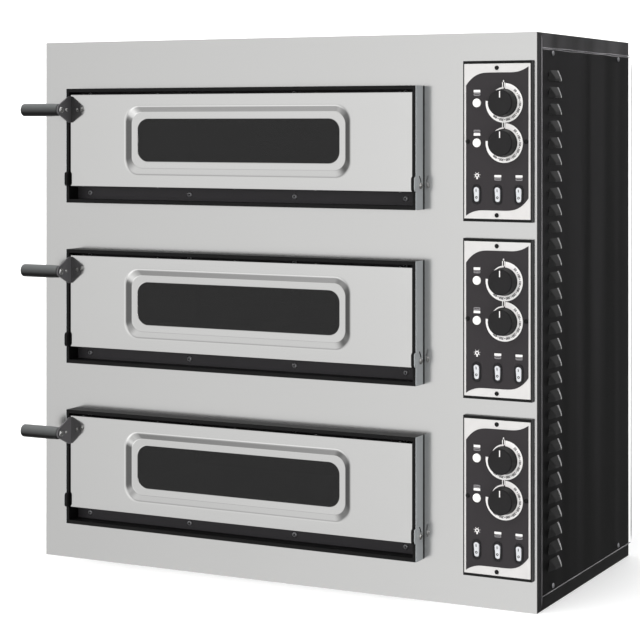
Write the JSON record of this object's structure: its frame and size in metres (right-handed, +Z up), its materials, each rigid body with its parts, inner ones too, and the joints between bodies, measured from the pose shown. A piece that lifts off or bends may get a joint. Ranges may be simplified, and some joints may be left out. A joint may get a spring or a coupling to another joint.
{
  "type": "deck oven",
  "caption": "Electric deck oven for baking, with stacked chambers behind drop-down glazed doors and a control panel beside each.",
  "frame": {"origin": "centre of the casing's underside, where it rests", "axes": "+Z up, doors face -Y, controls on the +X side"},
  "size_m": [0.927, 0.5409, 0.898],
  "materials": {
    "stainless": "fine horizontal brushing",
    "black_paint": "satin black powder coat",
    "zinc_plate": "zinc-coated sheet",
    "chamber_steel": "aluminised sheet, dulled by heat",
    "black_enamel": "satin black",
    "window_glass": "dark tempered glass",
    "lamp_glass": "clear pressed glass",
    "element_sheath": "oxidised steel tube",
    "refractory": "fine cordierite slab",
    "mineral_wool": "loose wool batt",
    "porcelain": "glazed",
    "printed_plate": "white plate with a dark printed field",
    "knob_plastic": "fine-textured black",
    "grip_plastic": "satin black",
    "black_plastic": "moulded black",
    "pilot_lens": "milky lens",
    "rocker_plastic": "white rocker with printed marks",
    "bright_screw": "bright zinc plating"
  },
  "bodies": {
    "casing": {"front_panel": "stainless", "front_frame": "black_paint", "side_panel_left": "black_paint", "side_panel_right": "black_paint", "top_cover": "black_paint", "bottom_pan": "black_paint", "back_panel": "zinc_plate", "bulkhead": "zinc_plate", "cable_gland": "black_plastic", "terminal_block": "porcelain", "upper_elements": "element_sheath", "lower_elements": "element_sheath", "baking_stones": "refractory", "oven_lamps": "lamp_glass", "insulation": "mineral_wool", "control_boxes": "black_paint", "faceplates": "printed_plate", "pilot_lamps": "pilot_lens", "thermostats": "zinc_plate", "switch_bodies": "black_plastic", "casing_screws": "bright_screw", "chamber_liner_upper": "chamber_steel", "door_surround_upper": "black_paint", "chamber_liner_middle": "chamber_steel", "door_surround_middle": "black_paint", "chamber_liner_lower": "chamber_steel", "door_surround_lower": "black_paint"},
    "door_upper": {"door_skin_upper": "stainless", "door_liner_upper": "black_enamel", "door_glass_upper": "window_glass", "handle_plate_upper": "black_paint", "handle_grip_upper": "grip_plastic", "door_fasteners_upper": "bright_screw"},
    "knob_upper_1": {"knob_upper_1": "knob_plastic"},
    "knob_upper_2": {"knob_upper_2": "knob_plastic"},
    "rocker_upper_1": {"rocker_upper_1": "rocker_plastic"},
    "rocker_upper_2": {"rocker_upper_2": "rocker_plastic"},
    "rocker_upper_3": {"rocker_upper_3": "rocker_plastic"},
    "door_middle": {"door_skin_middle": "stainless", "door_liner_middle": "black_enamel", "door_glass_middle": "window_glass", "handle_plate_middle": "black_paint", "handle_grip_middle": "grip_plastic", "door_fasteners_middle": "bright_screw"},
    "knob_middle_1": {"knob_middle_1": "knob_plastic"},
    "knob_middle_2": {"knob_middle_2": "knob_plastic"},
    "rocker_middle_1": {"rocker_middle_1": "rocker_plastic"},
    "rocker_middle_2": {"rocker_middle_2": "rocker_plastic"},
    "rocker_middle_3": {"rocker_middle_3": "rocker_plastic"},
    "door_lower": {"door_skin_lower": "stainless", "door_liner_lower": "black_enamel", "door_glass_lower": "window_glass", "handle_plate_lower": "black_paint", "handle_grip_lower": "grip_plastic", "door_fasteners_lower": "bright_screw"},
    "knob_lower_1": {"knob_lower_1": "knob_plastic"},
    "knob_lower_2": {"knob_lower_2": "knob_plastic"},
    "rocker_lower_1": {"rocker_lower_1": "rocker_plastic"},
    "rocker_lower_2": {"rocker_lower_2": "rocker_plastic"},
    "rocker_lower_3": {"rocker_lower_3": "rocker_plastic"}
  },
  "joints": [
    {"name": "door_upper_hinge", "type": "hinge", "parent": "casing", "child": "door_upper", "pos_m": [-0.0635, -0.241, 0.6578], "axis": [1, 0, 0], "range_deg": [0, 90]},
    {"name": "knob_upper_1_turn", "type": "hinge", "parent": "casing", "child": "knob_upper_1", "pos_m": [0.4064, -0.247, 0.7885], "axis": [0, 1, 0], "range_deg": [0, 270]},
    {"name": "knob_upper_2_turn", "type": "hinge", "parent": "casing", "child": "knob_upper_2", "pos_m": [0.4064, -0.247, 0.7262], "axis": [0, 1, 0], "range_deg": [0, 270]},
    {"name": "rocker_upper_1_tilt", "type": "hinge", "parent": "casing", "child": "rocker_upper_1", "pos_m": [0.3604, -0.23, 0.646], "axis": [-1, 0, 0], "range_deg": [0, 14]},
    {"name": "rocker_upper_2_tilt", "type": "hinge", "parent": "casing", "child": "rocker_upper_2", "pos_m": [0.3955, -0.23, 0.646], "axis": [-1, 0, 0], "range_deg": [0, 14]},
    {"name": "rocker_upper_3_tilt", "type": "hinge", "parent": "casing", "child": "rocker_upper_3", "pos_m": [0.4306, -0.23, 0.646], "axis": [-1, 0, 0], "range_deg": [0, 14]},
    {"name": "door_middle_hinge", "type": "hinge", "parent": "casing", "child": "door_middle", "pos_m": [-0.0635, -0.241, 0.3808], "axis": [1, 0, 0], "range_deg": [0, 90]},
    {"name": "knob_middle_1_turn", "type": "hinge", "parent": "casing", "child": "knob_middle_1", "pos_m": [0.4064, -0.247, 0.5115], "axis": [0, 1, 0], "range_deg": [0, 270]},
    {"name": "knob_middle_2_turn", "type": "hinge", "parent": "casing", "child": "knob_middle_2", "pos_m": [0.4064, -0.247, 0.4492], "axis": [0, 1, 0], "range_deg": [0, 270]},
    {"name": "rocker_middle_1_tilt", "type": "hinge", "parent": "casing", "child": "rocker_middle_1", "pos_m": [0.3604, -0.23, 0.369], "axis": [-1, 0, 0], "range_deg": [0, 14]},
    {"name": "rocker_middle_2_tilt", "type": "hinge", "parent": "casing", "child": "rocker_middle_2", "pos_m": [0.3955, -0.23, 0.369], "axis": [-1, 0, 0], "range_deg": [0, 14]},
    {"name": "rocker_middle_3_tilt", "type": "hinge", "parent": "casing", "child": "rocker_middle_3", "pos_m": [0.4306, -0.23, 0.369], "axis": [-1, 0, 0], "range_deg": [0, 14]},
    {"name": "door_lower_hinge", "type": "hinge", "parent": "casing", "child": "door_lower", "pos_m": [-0.0635, -0.241, 0.1038], "axis": [1, 0, 0], "range_deg": [0, 90]},
    {"name": "knob_lower_1_turn", "type": "hinge", "parent": "casing", "child": "knob_lower_1", "pos_m": [0.4064, -0.247, 0.2345], "axis": [0, 1, 0], "range_deg": [0, 270]},
    {"name": "knob_lower_2_turn", "type": "hinge", "parent": "casing", "child": "knob_lower_2", "pos_m": [0.4064, -0.247, 0.1722], "axis": [0, 1, 0], "range_deg": [0, 270]},
    {"name": "rocker_lower_1_tilt", "type": "hinge", "parent": "casing", "child": "rocker_lower_1", "pos_m": [0.3604, -0.23, 0.092], "axis": [-1, 0, 0], "range_deg": [0, 14]},
    {"name": "rocker_lower_2_tilt", "type": "hinge", "parent": "casing", "child": "rocker_lower_2", "pos_m": [0.3955, -0.23, 0.092], "axis": [-1, 0, 0], "range_deg": [0, 14]},
    {"name": "rocker_lower_3_tilt", "type": "hinge", "parent": "casing", "child": "rocker_lower_3", "pos_m": [0.4306, -0.23, 0.092], "axis": [-1, 0, 0], "range_deg": [0, 14]}
  ]
}
